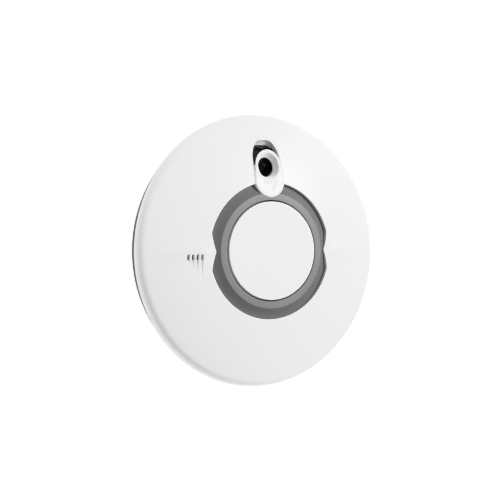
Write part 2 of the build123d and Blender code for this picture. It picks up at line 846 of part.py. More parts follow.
def slide_knob():
    low = board_z - slide_height
    stem_z = (housing_z + knob_recess, low + 1.8)
    stem = block(about(slide_x, knob_half[0]), about(slide_y, knob_half[1]), stem_z)
    shoe_z = (low + 0.9, low + 1.8)
    return stem + block(about(slide_x, shoe_half[0]), about(slide_y, shoe_half[1]), shoe_z)


MAKERS = (
    mounting_plate, rear_housing, front_cover, nose_cowl, trim_ring, test_button, button_spring,
    main_board, tact_switch, switch_plunger, status_led, light_pipe,
    sounder_base, piezo_disc, piezo_ceramic, sounder_cap, sounder_contacts,
    battery_cell, battery_tabs, microcontroller, step_up_coil, reservoir_capacitor, chip_parts,
    thermistor_leads, thermistor_bead, sensor_cup, board_screws, housing_screws,
    slide_switch, slide_knob,
)

if __name__ == "__main__":
    os.makedirs("parts", exist_ok=True)
    for maker in MAKERS:
        export_step(maker(), f"parts/{maker.__name__}.step")
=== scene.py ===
# %% [markdown]
# # A round heat alarm, finished in Blender
#
# The alarm was designed as solids first: a mounting plate, a head that twists onto it, a
# large test button and everything inside. This lesson loads those solids as a fixed frame
# and gives the pieces that people see their final shape and finish. Nothing is moved. A
# piece either keeps its solid and gets a better material, or is made again in the same place.

# %% Load the frame
import bpy
import bmesh
import math
import numpy as np
from mathutils import Matrix, Vector
from mathutils.geometry import delaunay_2d_cdt
from mathutils.kdtree import KDTree


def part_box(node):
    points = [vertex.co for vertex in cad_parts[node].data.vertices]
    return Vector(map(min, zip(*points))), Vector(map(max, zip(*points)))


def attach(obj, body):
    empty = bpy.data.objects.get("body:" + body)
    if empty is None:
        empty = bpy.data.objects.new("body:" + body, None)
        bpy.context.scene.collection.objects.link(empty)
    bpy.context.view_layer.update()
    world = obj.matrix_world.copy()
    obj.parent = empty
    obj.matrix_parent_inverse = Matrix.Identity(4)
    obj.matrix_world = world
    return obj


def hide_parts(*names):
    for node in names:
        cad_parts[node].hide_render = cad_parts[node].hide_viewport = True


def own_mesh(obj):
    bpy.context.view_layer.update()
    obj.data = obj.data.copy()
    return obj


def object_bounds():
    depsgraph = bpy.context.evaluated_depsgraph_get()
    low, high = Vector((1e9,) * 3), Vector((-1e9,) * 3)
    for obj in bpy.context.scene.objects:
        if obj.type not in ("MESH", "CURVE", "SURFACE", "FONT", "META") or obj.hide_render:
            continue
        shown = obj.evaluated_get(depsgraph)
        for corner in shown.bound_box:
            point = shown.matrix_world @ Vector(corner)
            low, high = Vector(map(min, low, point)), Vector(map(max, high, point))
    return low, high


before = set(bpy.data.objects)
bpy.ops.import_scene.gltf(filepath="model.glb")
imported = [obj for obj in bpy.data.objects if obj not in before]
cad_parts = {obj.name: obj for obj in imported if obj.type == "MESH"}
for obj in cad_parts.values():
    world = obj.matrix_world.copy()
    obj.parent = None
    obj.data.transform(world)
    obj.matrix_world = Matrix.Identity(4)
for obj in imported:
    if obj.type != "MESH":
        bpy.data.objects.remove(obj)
cad_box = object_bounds()

# %% [markdown]
# ## Units and main sizes
#
# Blender works in metres here, and the alarm's sizes are easier to read in millimetres, so
# one factor turns one into the other. The main sizes are read from the frame: the cover's
# radius, the button's radius and height, and the top of the trim ring.

# %% Main sizes, in millimetres
MM = 0.001


def corners(node):
    """Lowest and highest corner of a solid, in millimetres."""
    low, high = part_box(node)
    return low / MM, high / MM


cover_radius = corners("front_cover")[1].x
button_radius = corners("test_button")[1].x
button_top = corners("test_button")[1].z
band_top = corners("trim_ring")[1].z
print(f"cover {cover_radius:.2f}, button {button_radius:.2f}, top {button_top:.2f} mm")

# %% [markdown]
# ## The camera
#
# The alarm hangs on a wall and is seen from a little to its left and a touch above its
# middle, with a long lens. The model's +Z is the way the alarm faces, so the camera's own
# up is the model's +Y: towards the sensor nose. Building the camera's matrix from three
# directions says that plainly, where rotation angles would hide it.

# %% Camera
view_left = math.radians(29.8)
view_above = math.radians(0.95)
camera_distance = 1.2
focal_length = 171.9
camera_roll = math.radians(0.5)
aim = Vector((2.46, 0.1, 1.41)) * MM

towards = Vector((
    -math.sin(view_left) * math.cos(view_above),
    math.sin(view_above),
    math.cos(view_left) * math.cos(view_above),
))
level = Vector((math.cos(view_left), 0.0, math.sin(view_left)))
rightwards = Matrix.Rotation(-camera_roll, 3, towards) @ level
upwards = towards.cross(rightwards)

lens = bpy.data.cameras.new("camera")
lens.lens = focal_length
lens.sensor_width = 36.0
lens.clip_start, lens.clip_end = 0.05, 20.0
camera = bpy.data.objects.new("camera", lens)
turn = Matrix((rightwards, upwards, towards)).transposed().to_4x4()
camera.matrix_world = Matrix.Translation(aim + towards * camera_distance) @ turn
bpy.context.scene.collection.objects.link(camera)
bpy.context.scene.camera = camera
print("camera at", [round(v, 3) for v in camera.matrix_world.translation])

# %% [markdown]
# ## Shader maths as expressions
#
# A material is a graph of nodes. Writing that graph as Python expressions keeps it
# readable: the class below wraps one output of a node, and a sum or a product of two
# wrapped outputs adds the Math node that works it out. Every other node comes from one
# method, which takes the node's type, its settings and what goes into its sockets.

# %% One class for shader expressions
class Wire:
    """One output of a node in a material, which can be used in sums and products."""

    def __init__(self, tree, output=None):
        self.tree = tree
        self.output = output

    def node(self, kind, settings=(), sockets=(), out=0):
        """Adds a node: settings first, then the values or wires of its sockets."""
        made = self.tree.nodes.new("ShaderNode" + kind)
        for name, value in dict(settings).items():
            setattr(made, name, value)
        for name, value in dict(sockets).items():
            if isinstance(value, Wire):
                self.tree.links.new(value.output, made.inputs[name])
            else:
                made.inputs[name].default_value = value
        return Wire(self.tree, made.outputs[out] if made.outputs else None)

    def maths(self, operation, *values):
        return self.node("Math", {"operation": operation}, dict(enumerate(values)))

    def __add__(self, other):
        return self.maths("ADD", self, other)

    def __sub__(self, other):
        return self.maths("SUBTRACT", self, other)

    def __rsub__(self, other):
        return self.maths("SUBTRACT", other, self)

    def __mul__(self, other):
        return self.maths("MULTIPLY", self, other)

    __radd__ = __add__
    __rmul__ = __mul__

    def ramp(self, low, high):
        """0 below low, 1 above high, and smooth between."""
        limits = {"Value": self, "From Min": low, "From Max": high}
        settings = {"interpolation_type": "SMOOTHSTEP", "clamp": True}
        return self.node("MapRange", settings, limits)

    def between(self, first, second):
        """Mixes two colours, with this value as the factor."""
        return self.node("Mix", {"data_type": "RGBA"}, {0: self, 6: first, 7: second}, out=2)


# %% [markdown]
# ## The plastics
#
# Nearly everything in view is injection-moulded plastic. Its skin is a copy of the steel
# mould's, which is spark-eroded to a very fine texture, so that it looks satin. Three
# things make that skin: a fine bump of about a quarter of a millimetre, a roughness that
# changes a little from place to place, and a colour that is very slightly cloudy where the
# plastic flowed. All three come from noise in the object's own coordinates.

# %% A moulded plastic
# Share by which the trim ring's cove is coloured darker: painted shade, standing in for shade its slopes
# alone don't give.
cove_painted_shade = 0.3


def new_material(name):
    made = bpy.data.materials.new(name)
    made.use_nodes = True
    made.node_tree.nodes.clear()
    return made, Wire(made.node_tree)


def finish_material(wires, surface):
    wires.node("OutputMaterial", (), {"Surface": surface})


def shifted(colour, amount):
    """A colour made lighter or darker by a share of itself."""
    return tuple(min(1.0, c * (1 + amount)) for c in colour) + (1.0,)


def moulded(name, colour, roughness, grain=0.25, depth=0.012, cloud=0.02, specular=0.5, painted_shade_beyond=None):
    """Plastic from a textured mould: grain and depth are in millimetres.

    If a radius is given, the colour beyond it is darker by a set share: painted shade on the cove.
    """
    made, wires = new_material(name)
    place = wires.node("TexCoord", out=3)
    clouds = wires.node("TexNoise", (), {"Vector": place, "Scale": 45.0, "Detail": 3.0})
    flow = wires.node("TexNoise", (), {"Vector": place, "Scale": 260.0, "Detail": 2.0})
    skin = wires.node(
        "TexNoise", (), {"Vector": place, "Scale": 1 / (grain * MM), "Detail": 2.0, "Roughness": 0.6}
    )
    tint = clouds.ramp(0.3, 0.7).between(shifted(colour, -cloud), shifted(colour, cloud / 2))
    # Painted shade: beyond the given radius the colour is mixed towards a darker copy of itself.
    if painted_shade_beyond:
        flat = wires.node("VectorMath", {"operation": "MULTIPLY"}, {0: place, 1: (1.0, 1.0, 0.0)})
        radius = wires.node("VectorMath", {"operation": "LENGTH"}, {0: flat}, out=1)
        painted_shade_mask = radius.ramp((painted_shade_beyond - 0.1) * MM, (painted_shade_beyond + 0.3) * MM)
        tint = painted_shade_mask.between(tint, shifted(colour, -cove_painted_shade))
    gloss = roughness - 0.04 + flow * 0.08
    relief = wires.node(
        "Bump", (), {"Strength": 0.35, "Distance": depth * MM, "Height": skin * 0.8 + flow * 0.2}
    )
    shader = wires.node("BsdfPrincipled", (), {
        "Base Color": tint, "Roughness": gloss, "Normal": relief, "Specular IOR Level": specular,
    })
    finish_material(wires, shader)
    return made


cover_white = moulded("cover_white", (0.86, 0.86, 0.855), 0.46, cloud=0.012)
button_white = moulded("button_white", (0.85, 0.85, 0.845), 0.42, grain=0.2, cloud=0.010)
# The ring's cove, beyond the band, gets the painted shade.
ring_grey = moulded("ring_grey", (0.230, 0.235, 0.240), 0.5, grain=0.3, depth=0.02, cloud=0.05,
                    specular=0.3, painted_shade_beyond=28.4)
base_charcoal = moulded("base_charcoal", (0.060, 0.061, 0.064), 0.5, grain=0.35, depth=0.03, cloud=0.08)
inner_black = moulded("inner_black", (0.008, 0.008, 0.008), 0.6, cloud=0.1, specular=0.15)
print("plastics", len(bpy.data.materials))

# %% [markdown]
# ## Metals, board and other finishes inside
#
# The pieces inside are seen only when the alarm is opened, yet each has its own finish. A
# metal differs from a plastic by its metallic shader and by the streaks that rolling or
# drawing leaves. The circuit board is green lacquer over glass cloth, with a fine weave
# that just shows, and the ferrite and the cell's sleeve are dark and glossy.

# %% Finishes of the inner pieces
def metal(name, colour, roughness, streak=(1.0, 1.0, 1.0)):
    """Bare or plated metal; streak stretches the noise along the way it was drawn."""
    made, wires = new_material(name)
    place = wires.node("TexCoord", out=3)
    along = wires.node("Mapping", (), {"Vector": place, "Scale": streak})
    marks = wires.node("TexNoise", (), {"Vector": along, "Scale": 1800.0, "Detail": 4.0})
    tarnish = wires.node("TexNoise", (), {"Vector": place, "Scale": 180.0, "Detail": 2.0})
    tint = tarnish.ramp(0.35, 0.75).between(shifted(colour, 0.04), shifted(colour, -0.12))
    relief = wires.node("Bump", (), {"Strength": 0.3, "Distance": 0.02 * MM, "Height": marks})
    shader = wires.node("BsdfPrincipled", (), {
        "Base Color": tint, "Roughness": roughness - 0.06 + marks * 0.12,
        "Metallic": 1.0, "Normal": relief,
    })
    finish_material(wires, shader)
    return made


def board_lacquer(name):
    """Green solder mask over the weave of the glass cloth."""
    made, wires = new_material(name)
    place = wires.node("TexCoord", out=3)
    weave_u = wires.node("TexWave", {"bands_direction": "X"}, {"Vector": place, "Scale": 420.0})
    weave_v = wires.node("TexWave", {"bands_direction": "Y"}, {"Vector": place, "Scale": 420.0})
    weave = weave_u * weave_v
    colour = weave.between((0.010, 0.075, 0.028, 1.0), (0.014, 0.105, 0.040, 1.0))
    relief = wires.node("Bump", (), {"Strength": 0.2, "Distance": 0.02 * MM, "Height": weave})
    shader = wires.node("BsdfPrincipled", (), {
        "Base Color": colour, "Roughness": 0.25 + weave * 0.08, "Normal": relief, "Coat Weight": 0.3,
    })
    finish_material(wires, shader)
    return made


def clear_acrylic(name, colour):
    """Tinted clear plastic with a few faint flow lines."""
    made, wires = new_material(name)
    place = wires.node("TexCoord", out=3)
    flow = wires.node("TexNoise", (), {"Vector": place, "Scale": 500.0, "Detail": 1.0})
    tint = flow.ramp(0.3, 0.7).between(shifted(colour, 0.0), shifted(colour, -0.08))
    shader = wires.node("BsdfPrincipled", (), {
        "Base Color": tint, "Roughness": 0.05 + flow * 0.05,
        "Transmission Weight": 0.9, "IOR": 1.49,
    })
    finish_material(wires, shader)
    return made


zinc = metal("zinc", (0.60, 0.61, 0.62), 0.32)
spring_steel = metal("spring_steel", (0.48, 0.48, 0.49), 0.26)
tin = metal("tin", (0.66, 0.66, 0.64), 0.30)
rolled_brass = metal("rolled_brass", (0.72, 0.52, 0.22), 0.30, streak=(1.0, 0.08, 1.0))
drawn_aluminium = metal("drawn_aluminium", (0.70, 0.71, 0.72), 0.34, streak=(1.0, 1.0, 0.1))
lacquer_green = board_lacquer("lacquer_green")
silvered_ceramic = moulded("silvered_ceramic", (0.62, 0.60, 0.54), 0.4, grain=0.15, cloud=0.08)
ferrite_dark = moulded("ferrite_dark", (0.035, 0.034, 0.036), 0.55, grain=0.12, depth=0.03, cloud=0.15)
cell_sleeve = moulded("cell_sleeve", (0.020, 0.030, 0.055), 0.22, grain=0.8, depth=0.01, cloud=0.1)
chip_epoxy = moulded("chip_epoxy", (0.018, 0.018, 0.019), 0.6, grain=0.08, depth=0.02, cloud=0.1)
light_pipe_clear = clear_acrylic("light_pipe_clear", (0.95, 0.97, 0.97))
lamp_red = clear_acrylic("lamp_red", (0.75, 0.04, 0.03))
print("materials", len(bpy.data.materials))

# %% [markdown]
# ## Who wears which finish
#
# The solids that keep their shape get their finish here, by name. Those that are made
# again later are hidden, and their new pieces take the finish directly.

# %% Dress the solids that stay
finish_of = {
    base_charcoal: ("mounting_plate", "rear_housing"),
    inner_black: ("sounder_base", "sounder_cap", "sensor_cup", "thermistor_bead",
                  "tact_switch", "switch_plunger", "slide_knob"),
    lacquer_green: ("main_board",),
    lamp_red: ("status_led",),
    light_pipe_clear: ("light_pipe",),
    rolled_brass: ("piezo_disc",),
    silvered_ceramic: ("piezo_ceramic", "chip_parts"),
    tin: ("sounder_contacts", "battery_tabs", "thermistor_leads", "slide_switch"),
    cell_sleeve: ("battery_cell",),
    chip_epoxy: ("microcontroller",),
    ferrite_dark: ("step_up_coil",),
    drawn_aluminium: ("reservoir_capacitor",),
    zinc: ("board_screws", "housing_screws"),
}


def dress(solid, finish):
    """Puts one finish on every slot of a piece."""
    slots = solid.data.materials
    if not slots:
        slots.append(finish)
    for number in range(len(slots)):
        slots[number] = finish


for finish, names in finish_of.items():
    for name in names:
        dress(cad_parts[name], finish)
print("dressed", sum(len(names) for names in finish_of.values()), "solids")

# %% [markdown]
# ## Making a mesh from points
#
# A few small helpers turn numbers into Blender objects. One links a mesh and sets which
# edges stay sharp: smooth shading everywhere, except where two faces meet at more than a
# given angle. Two draw the arcs and rounded corners of a profile. The last turns a profile
# round Z, as a lathe does, and suits the button and the trim ring, which are round.

# %% Mesh helpers
def as_object(name, points, faces, finish, body, sharp=40.0):
    """A mesh object from points in millimetres, riding on one body of the frame."""
    mesh = bpy.data.meshes.new(name)
    mesh.from_pydata([tuple(p) for p in np.asarray(points) * MM], [], faces)
    mesh.validate()
    made = bmesh.new()
    made.from_mesh(mesh)
    bmesh.ops.recalc_face_normals(made, faces=made.faces)
    made.to_mesh(mesh)
    made.free()
    mesh.shade_smooth()
    mesh.set_sharp_from_angle(angle=math.radians(sharp))
    mesh.materials.append(finish)
    piece = bpy.data.objects.new(name, mesh)
    bpy.context.scene.collection.objects.link(piece)
    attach(piece, body)
    print(f"{name}: {len(mesh.vertices)} points, {len(mesh.polygons)} faces")
    return piece


def arc(centre, radius, start, end, steps):
    """Points of a circular arc in a profile, from one angle to another in degrees."""
    turns = np.radians(np.linspace(start, end, steps + 1))
    return [(centre[0] + radius * math.cos(t), centre[1] + radius * math.sin(t)) for t in turns]


def rounded(profile, radii, steps=5):
    """A profile whose corners are rounded, each with its own radius; 0 keeps a corner."""
    made = []
    count = len(profile)
    for number, (corner, radius) in enumerate(zip(profile, radii)):
        here = Vector(corner)
        before = (Vector(profile[number - 1]) - here).normalized()
        after = (Vector(profile[(number + 1) % count]) - here).normalized()
        if radius == 0 or before.dot(after) < -0.999:
            made.append(tuple(here))
            continue
        half = before.angle(after) / 2
        reach = radius / math.tan(half)
        centre = here + (before + after).normalized() * radius / math.sin(half)
        first, last = here + before * reach - centre, here + after * reach - centre
        for step in range(steps + 1):
            spoke = first.lerp(last, step / steps).normalized() * radius
            made.append(tuple(centre + spoke))
    return made


def lathe(profile, segments):
    """Points and faces of a closed (radius, z) profile turned round Z."""
    angles = np.linspace(0, 2 * math.pi, segments, endpoint=False)
    points, rings_at, count = [], [], 0
    for radius, z in profile:
        if radius < 1e-6:
            points.append((0.0, 0.0, z))
            rings_at.append([count] * segments)
            count += 1
        else:
            points += [(radius * math.cos(a), radius * math.sin(a), z) for a in angles]
            rings_at.append(list(range(count, count + segments)))
            count += segments
    faces = []
    for here, there in zip(rings_at, rings_at[1:] + rings_at[:1]):
        for a in range(segments):
            b = (a + 1) % segments
            corner = list(dict.fromkeys((here[a], here[b], there[b], there[a])))
            if len(corner) > 2:
                faces.append(corner)
    return points, faces


# %% [markdown]
# ## The shape of the dome
#
# The cover is part of a large sphere, so that it is nearly flat in front, and turns down
# into a short skirt through a rounded shoulder. The sphere is fixed by two heights: where
# the trim ring begins, and where it would meet the skirt. A function gives its height at
# any radius, and every piece that follows the dome asks it.

# %% Dome
opening_radius = 33.9
opening_z = 25.9
dome_rim_z = 14.2
skirt_z = 10.0
cover_wall = 2.2
wall_at_slots = 1.2
shoulder = 6.0
inner_shoulder = 1.8

dome_centre = (opening_z + dome_rim_z) / 2 - (
    (cover_radius**2 - opening_radius**2) / (2 * (opening_z - dome_rim_z))
)
dome_radius = math.hypot(opening_z - dome_centre, opening_radius)


def dome_z(radius, inset=0.0):
    return dome_centre + np.sqrt((dome_radius - inset) ** 2 - radius**2)


def shoulder_profile(outside, inset, radius, steps):
    """Rounding between the dome and the skirt, from the dome's side downwards."""
    centre_r = outside - radius
    centre_z = dome_centre + math.sqrt((dome_radius - inset - radius) ** 2 - centre_r**2)
    start = math.degrees(math.atan2(centre_z - dome_centre, centre_r))
    return arc((centre_r, centre_z), radius, start, 0.0, steps)


print(f"dome radius {dome_radius:.1f} mm, height at the middle {dome_z(0.0):.2f} mm")

# %% [markdown]
# ## Trim ring
#
# The grey ring is a turned shape: a flat band next to the button, a cove that drops
# steeply from it and levels out towards the cover's edge, and a well that holds the
# button. It runs on under the cover's two tabs and under the nose, which both ask for its
# height. Its light and dark zones come partly from the slopes of this profile. The slopes
# alone give too little contrast, so shade is also painted on: the ring's colour is darker
# on the cove.

# %% Trim ring
band_outer = 28.4
band_outer_z = 26.9
well_radius = button_radius + 0.7
well_floor_z = 20.0
well_wall = 1.8
well_floor_thick = 1.6
stem_hole_radius = 2.85
ring_flange_z = 22.9
ring_flange_width = 1.6
ring_flange_thick = 1.2
ring_outer = opening_radius - 0.1
cove_drop = 3.1
cove_fullness = 1.35
cove_width = ring_outer - band_outer
cove = [(band_outer + cove_width * t, band_outer_z - cove_drop * (1 - (1 - t) ** cove_fullness))
        for t in np.linspace(0.05, 1.0, 12)]
ring_reach = [well_radius, band_outer] + [radius for radius, z in cove]
ring_top = [band_top, band_outer_z] + [z for radius, z in cove]

ring_profile = rounded(
    [(well_radius, well_floor_z + well_floor_thick), (well_radius, band_top),
     (band_outer, band_outer_z), cove[0]],
    (0, 0.2, 0.15, 0), 4,
)
ring_profile += cove[1:] + [
    (ring_outer, ring_flange_z), (opening_radius + ring_flange_width, ring_flange_z),
    (opening_radius + ring_flange_width, ring_flange_z - ring_flange_thick),
    (well_radius + well_wall, ring_flange_z - ring_flange_thick), (well_radius + well_wall, well_floor_z),
    (stem_hole_radius, well_floor_z), (stem_hole_radius, well_floor_z + well_floor_thick),
]
points, faces = lathe(ring_profile, 256)
ring = as_object("trim_ring_moulding", points, faces, ring_grey, "alarm_head", 50.0)
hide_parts("trim_ring")

# %% [markdown]
# ## Ridges, tabs, slots and grooves on the cover
#
# Two low ridges run out from the trim ring at 3 and 9 o'clock. Each has a crisp crest and
# soft sides, sinks into the dome before the rim, and ends inwards in a pointed tab that
# reaches in over the ring. Below the left ridge are four sound slots, and from each a
# groove runs down and fades out. All of this is one height added to the dome, so the
# cover can be one smooth sheet.

# %% Height of the cover's front
ridge_height = 0.95
ridge_end = 59.5
ridge_half_width = 9.3
tab_tip = 30.5
tab_drop = 1.2
tab_length = 7.0

slot_count = 4
slot_pitch = 2.22
slot_first_x = -37.8
slot_width = 1.25
slot_top_y = -1.1
slot_low_y = -3.8
groove_depth = 1.1
groove_side = 0.22
groove_lengths = (10.0, 7.5, 4.0, 1.8)
slot_x = [slot_first_x - number * slot_pitch for number in range(slot_count)]


def smooth(share):
    share = np.clip(share, 0.0, 1.0)
    return share * share * (3 - 2 * share)


def ridge(x, y):
    """Height of the ridges over the dome."""
    out = np.abs(x)
    fade = 1 - np.clip((out - tab_tip) / (ridge_end - tab_tip), 0.0, 1.0) ** 2
    crest = ridge_height * fade - tab_drop * (1 - smooth((out - tab_tip) / tab_length))
    width = ridge_half_width * (0.45 + 0.55 * fade)
    side = np.clip(1 - np.abs(y) / width, 0.0, 1.0)
    return np.where(out > 20, crest * side**1.6, 0.0)


def groove_width(number, y):
    """Half-width of a groove, which narrows as it runs down from its slot."""
    share = np.clip((slot_low_y - y) / groove_lengths[number], 0.0, 1.0)
    return slot_width / 2 * (1 - 0.55 * share)


def grooves(x, y):
    """Depth of the grooves below the cover's surface."""
    depth = np.zeros_like(x)
    for number, middle in enumerate(slot_x):
        share = (slot_low_y - y) / groove_lengths[number]
        floor = groove_depth * np.clip(1 - share, 0.0, 1.0) ** 1.3
        inside = groove_width(number, y) - np.abs(x - middle)
        wall = smooth(inside / groove_side)
        depth = np.maximum(depth, np.where(y < slot_low_y + 0.3, floor * wall, 0.0))
    return depth


# %% [markdown]
# ## Outlines cut in the cover
#
# The cover has a round opening for the trim ring, with the two tabs left standing, a long
# oval opening for the sensor nose that runs into it, and the four slots. Each outline is a
# list of points made from arcs, close enough together to look round.

# %% Outlines
nose_low_radius = 8.2
nose_low_y = 34.7
nose_high_y = 44.5
nose_half_width = 8.0
nose_height = 11.7
seam = 0.1


def nose_distance(x, y, grow=0.0):
    """Signed distance, roughly, to the nose's long oval outline: below 0 inside."""
    low = np.hypot(x, y - nose_low_y) - nose_low_radius
    high = (np.hypot(x / nose_half_width, (y - nose_high_y) / nose_height) - 1) * nose_half_width
    share = np.clip((y - nose_low_y) / (nose_high_y - nose_low_y), 0.0, 1.0)
    middle = np.abs(x) - (nose_low_radius + (nose_half_width - nose_low_radius) * share)
    return np.where(y < nose_low_y, low, np.where(y > nose_high_y, high, middle)) - grow


def nose_loop(grow=0.0):
    """The oval's outline from its right shoulder over the top to its left shoulder."""
    half, tall = nose_half_width + grow, nose_height + grow
    low = nose_low_radius + grow
    top = [(half * math.cos(t), nose_high_y + tall * math.sin(t)) for t in np.linspace(0, math.pi, 49)]
    start = math.sqrt(opening_radius**2 - low**2)
    right = [(low + (half - low) * s, start + (nose_high_y - start) * s) for s in np.linspace(0, 1, 14)]
    left = [(-x, y) for x, y in reversed(right)]
    return right[:-1] + top + left[1:]


def opening_loop():
    """The round opening with its two tabs, joined to the nose's opening at the top."""
    nose = nose_loop(seam)
    nose_angle = math.asin(nose[0][0] / opening_radius)
    tab_angle = math.asin(ridge_half_width / opening_radius)
    root_x = opening_radius * math.cos(tab_angle)

    def round_part(start, end):
        count = max(3, int(abs(end - start) * opening_radius / 0.7))
        turns = np.linspace(start, end, count)
        return [(opening_radius * math.cos(t), opening_radius * math.sin(t)) for t in turns]

    def tab(side, first):
        rise = np.linspace(first * ridge_half_width, -first * ridge_half_width, 27)[1:-1]
        reach = [root_x - (root_x - tab_tip) * (1 - abs(y) / ridge_half_width) ** 1.6 for y in rise]
        return [(side * x, y) for x, y in zip(reach, rise)]

    quarter = math.pi / 2
    return (
        nose
        + round_part(quarter + nose_angle, math.pi - tab_angle)[1:]
        + tab(-1, 1)
        + round_part(math.pi + tab_angle, 2 * math.pi - tab_angle)
        + tab(1, -1)
        + round_part(tab_angle, quarter - nose_angle)[:-1]
    )


def slot_loop(middle):
    """A slot with rounded corners, rounder at its top."""
    half = slot_width / 2
    top = [(middle + x, y) for x, y in arc((0, slot_top_y - half), half, 0, 180, 8)]
    corner = 0.3
    left = arc((middle - half + corner, slot_low_y + corner), corner, 180, 270, 3)
    right = arc((middle + half - corner, slot_low_y + corner), corner, 270, 360, 3)
    return top + left + right


print("opening", len(opening_loop()), "points; slots at", [round(x, 2) for x in slot_x])

# %% [markdown]
# ## One sheet with holes in it
#
# A mesh for such a sheet could be cut with boolean modifiers, but those leave long thin
# triangles that shade badly on a gentle dome. Here the points are spread in the flat
# first, as rings with extra ones along every edge, and Blender's Delaunay function joins
# them so that each outline is kept. Only then is each point lifted to its height. Beside
# an edge, a few rows of points sink along a small arc, which rounds that edge.

# %% Spread points and join them
def spaced(loop, step):
    """Points along a closed outline, no further apart than step."""
    made = []
    for first, last in zip(loop, loop[1:] + loop[:1]):
        count = max(1, math.ceil(math.dist(first, last) / step))
        made += [(first[0] + (last[0] - first[0]) * k / count,
                  first[1] + (last[1] - first[1]) * k / count) for k in range(count)]
    return made


def offset(loop, amount):
    """The outline moved to its left, which is outwards from a hole that runs clockwise."""
    made = []
    for number, here in enumerate(loop):
        before, after = Vector(loop[number - 1]), Vector(loop[(number + 1) % len(loop)])
        along = (after - before).normalized()
        made.append((here[0] - along.y * amount, here[1] + along.x * amount))
    return made


def nearest(loop_points):
    """A tree that finds the nearest of many flat points."""
    tree = KDTree(len(loop_points))
    for number, (x, y) in enumerate(loop_points):
        tree.insert((x, y, 0.0), number)
    tree.balance()
    return tree


def sheet(loops, loose, keep):
    """Triangles over loose points and closed outlines; keep says which of them stay."""
    points, edges = [Vector(p) for p in loose], []
    for loop, closed in loops:
        start = len(points)
        points += [Vector(p) for p in loop]
        count = len(loop)
        edges += [(start + k, start + (k + 1) % count) for k in range(count if closed else count - 1)]
    made = delaunay_2d_cdt(points, edges, [], 0, 1e-5)
    flat = np.array([tuple(v) for v in made[0]])
    triangles = np.array([f for f in made[2] if len(f) == 3])
    middle = flat[triangles].mean(axis=1)
    return flat, triangles[keep(middle[:, 0], middle[:, 1])]


# %% [markdown]
# ## The front cover
#
# The sheet is made twice, once for the outside and once, a wall's thickness lower, for the
# inside. Walls join the two along every outline, and the shoulder and skirt join them
# round the outside, so the cover is one closed shell as the moulding is.

# %% Build the cover
edge_rounding = 0.35
seam_rounding = 0.12
slot_rounding = 0.15
join_radius = 61.0
around = 288
ridge_rows = (0.0, 0.35, 0.8, 1.4, 2.2)


def cover_sheet():
    """Outlines, loose points and kept lines of the flat sheet."""
    opening = spaced(opening_loop(), 0.5)[::-1]
    slots = [spaced(slot_loop(x), 0.22)[::-1] for x in slot_x]
    loops = [(loop, True) for loop in [opening] + slots]
    loops += [(offset(opening, amount), True) for amount in (0.1, 0.22, edge_rounding)]
    loops += [(offset(slot, amount), True) for slot in slots for amount in (0.07, slot_rounding)]
    extra = []
    for side in (-1, 1):
        xs = side * np.arange(tab_tip + 1.0, ridge_end + 1, 0.8)
        loops.append(([(x, 0.0) for x in xs], False))
        for x in xs:
            by_slots = slot_x[-1] - 1.3 < x < slot_first_x + 1.3
            extra += [(x, y) for y in ridge_rows[1:]]
            extra += [] if by_slots else [(x, -y) for y in ridge_rows[1:]]
    for number, middle in enumerate(slot_x):
        ys = np.arange(slot_low_y - 0.25, slot_low_y - groove_lengths[number], -0.3)
        for side in (-1, 1):
            for inwards in (0.0, groove_side / 2, groove_side):
                reach = [max(float(groove_width(number, y)) - inwards, 0.0) for y in ys]
                loops.append(([(middle + side * r, y) for r, y in zip(reach, ys)], False))
    fixed = [p for loop, closed in loops for p in loop]
    extra_tree = nearest(fixed)
    extra = [p for p in extra if extra_tree.find((*p, 0.0))[2] > 0.2]
    tree = nearest(fixed + extra)
    lattice = []
    for radius in np.arange(tab_tip - 0.5, join_radius - 0.5, 1.25):
        for turn in np.linspace(0, 2 * math.pi, around, endpoint=False):
            place = (radius * math.cos(turn), radius * math.sin(turn))
            if tree.find((*place, 0.0))[2] > 0.55:
                lattice.append(place)
    rim = [(join_radius * math.cos(turn), join_radius * math.sin(turn))
           for turn in np.linspace(0, 2 * math.pi, around, endpoint=False)]
    loops.append((rim, True))
    return loops, lattice + extra, opening, slots


def in_polygon(loop, x, y):
    """Which of many flat points lie inside an outline."""
    inside = np.zeros(len(x), bool)
    ring = np.array(loop)
    for (x1, y1), (x2, y2) in zip(ring, np.roll(ring, -1, axis=0)):
        crosses = (y1 > y) != (y2 > y)
        inside ^= crosses & (x < (x2 - x1) * (y - y1) / (y2 - y1 + 1e-12) + x1)
    return inside


